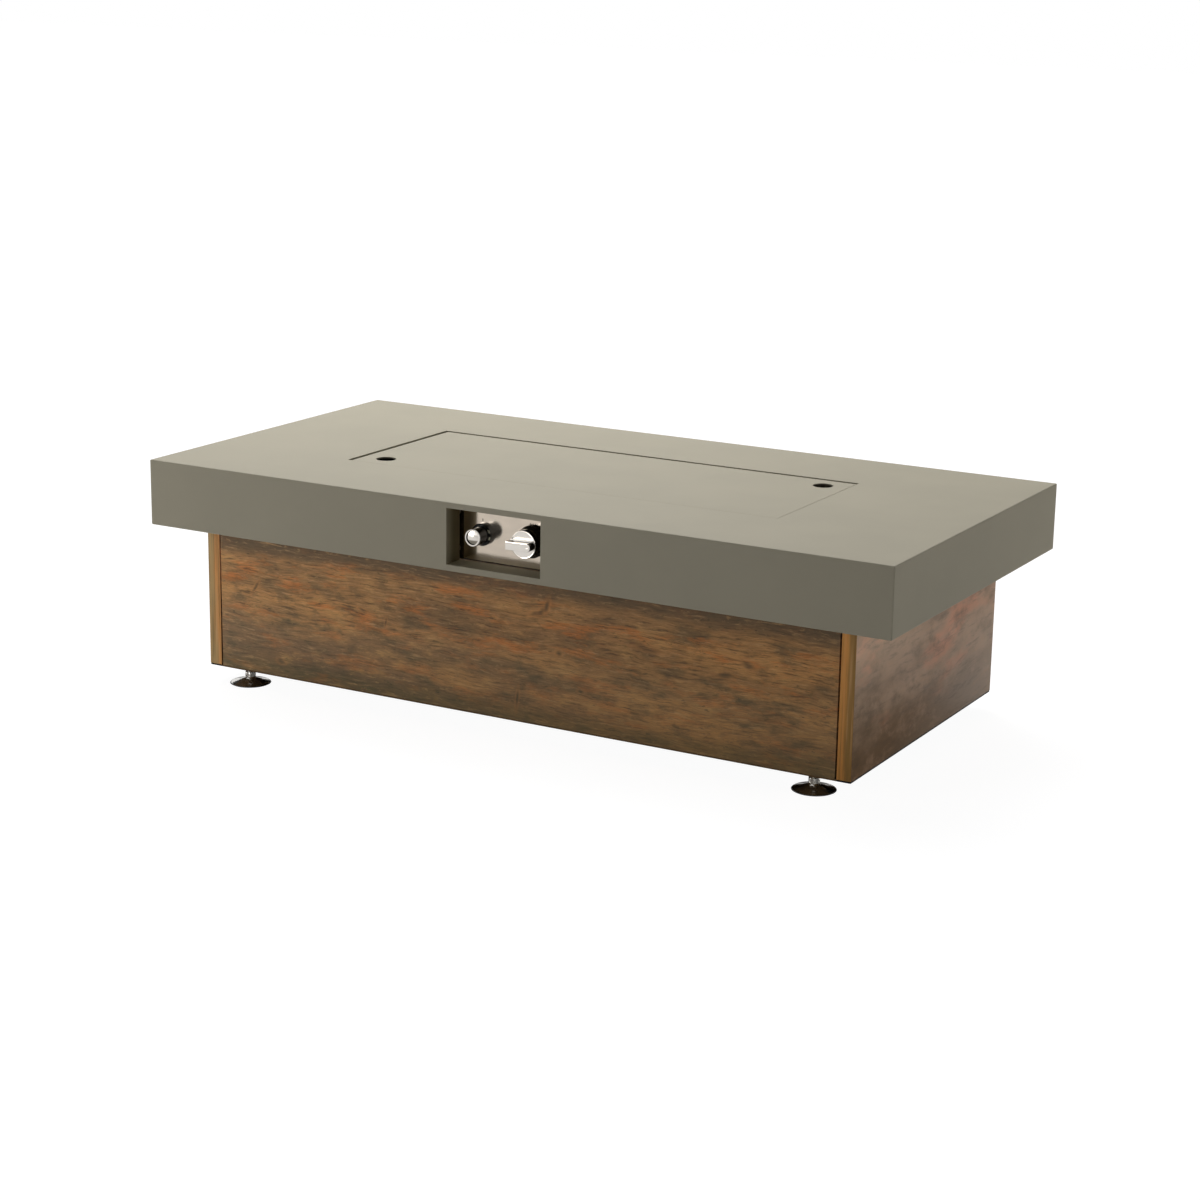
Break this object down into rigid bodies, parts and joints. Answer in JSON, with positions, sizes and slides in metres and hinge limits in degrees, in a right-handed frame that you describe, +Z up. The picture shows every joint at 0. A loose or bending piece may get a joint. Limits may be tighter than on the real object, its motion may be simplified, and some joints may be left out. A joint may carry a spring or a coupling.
{
  "type": "fire pit table",
  "caption": "Low rectangular gas fire pit table with a flush lift-off burner lid, a recessed front control panel, a wood-clad box base and levelling feet.",
  "frame": {"origin": "on the floor under the middle of the table, at the underside of the feet", "axes": "+X along the length, to the right of someone at the control panel; +Y to the back; +Z up"},
  "size_m": [1.372, 0.686, 0.39],
  "materials": {
    "top_paint": "matt powder coat, warm grey",
    "wood": "weathered dark stain, satin",
    "plate_steel": "brushed along its length",
    "chrome": "polished chrome",
    "frame_paint": "black powder coat",
    "pan_steel": "mill finish stainless",
    "stone_bed": "dark broken lava rock",
    "zinc": "zinc plated",
    "brass": "machined",
    "valve_metal": "die cast",
    "black_plastic": "moulded",
    "porcelain": "glazed",
    "wire_cover": "silicone sleeve",
    "copper": "drawn tube"
  },
  "bodies": {
    "table": {"table_top": "top_paint", "control_sleeve": "top_paint", "lid_ledge": "frame_paint", "left_deck_channel": "frame_paint", "right_deck_channel": "frame_paint", "burner_pan": "pan_steel", "pan_end_left": "pan_steel", "pan_end_right": "pan_steel", "burner_tube": "pan_steel", "fire_media": "stone_bed", "ignition_hood": "pan_steel", "spark_electrode": "porcelain", "thermocouple": "copper", "burner_elbow": "brass", "control_plate": "plate_steel", "plate_spacers": "zinc", "plate_screws": "zinc", "igniter_bezel": "chrome", "igniter_nut": "zinc", "igniter_housing": "black_plastic", "igniter_battery": "black_plastic", "igniter_spring": "zinc", "gas_valve_body": "valve_metal", "valve_spring": "zinc", "valve_screws": "zinc", "burner_line": "copper", "supply_line": "pan_steel", "ignition_wire": "wire_cover", "gas_inlet": "brass", "inlet_nut": "brass", "left_end_panel": "wood", "right_end_panel": "wood", "front_panel": "wood", "back_panel": "wood", "front_left_post": "frame_paint", "front_right_post": "frame_paint", "back_left_post": "frame_paint", "back_right_post": "frame_paint", "lower_front_rail": "frame_paint", "lower_back_rail": "frame_paint", "lower_left_rail": "frame_paint", "lower_right_rail": "frame_paint", "upper_front_rail": "frame_paint", "upper_back_rail": "frame_paint", "panel_screws": "zinc", "frame_bolts": "zinc", "foot_inserts": "zinc"},
    "lid": {"burner_lid": "top_paint"},
    "igniter_button": {"igniter_button": "chrome"},
    "valve_rotor": {"valve_plug": "brass"},
    "knob": {"valve_knob": "chrome", "valve_stem": "brass"},
    "foot_front_left": {"foot_disc_front_left": "chrome", "foot_stem_front_left": "chrome"},
    "foot_front_right": {"foot_disc_front_right": "chrome", "foot_stem_front_right": "chrome"},
    "foot_back_left": {"foot_disc_back_left": "chrome", "foot_stem_back_left": "chrome"},
    "foot_back_right": {"foot_disc_back_right": "chrome", "foot_stem_back_right": "chrome"}
  },
  "joints": [
    {"name": "lid_lift", "type": "slide", "parent": "table", "child": "lid", "axis": [0, 0, 1], "range_m": [0, 0.15]},
    {"name": "igniter_press", "type": "slide", "parent": "table", "child": "igniter_button", "axis": [0, 1, 0], "range_m": [0, 0.0035], "stiffness_N_per_m": 1500, "springref_m": -0.002},
    {"name": "knob_turn", "type": "hinge", "parent": "table", "child": "valve_rotor", "pos_m": [0.046, -0.27, 0.334], "axis": [0, -1, 0], "range_deg": [0, 90]},
    {"name": "knob_press", "type": "slide", "parent": "valve_rotor", "child": "knob", "axis": [0, 1, 0], "range_m": [0, 0.004], "stiffness_N_per_m": 1500, "springref_m": -0.002},
    {"name": "foot_height_front_left", "type": "slide", "parent": "table", "child": "foot_front_left", "axis": [0, 0, 1], "range_m": [-0.015, 0.0065]},
    {"name": "foot_height_front_right", "type": "slide", "parent": "table", "child": "foot_front_right", "axis": [0, 0, 1], "range_m": [-0.015, 0.0065]},
    {"name": "foot_height_back_left", "type": "slide", "parent": "table", "child": "foot_back_left", "axis": [0, 0, 1], "range_m": [-0.015, 0.0065]},
    {"name": "foot_height_back_right", "type": "slide", "parent": "table", "child": "foot_back_right", "axis": [0, 0, 1], "range_m": [-0.015, 0.0065]}
  ]
}
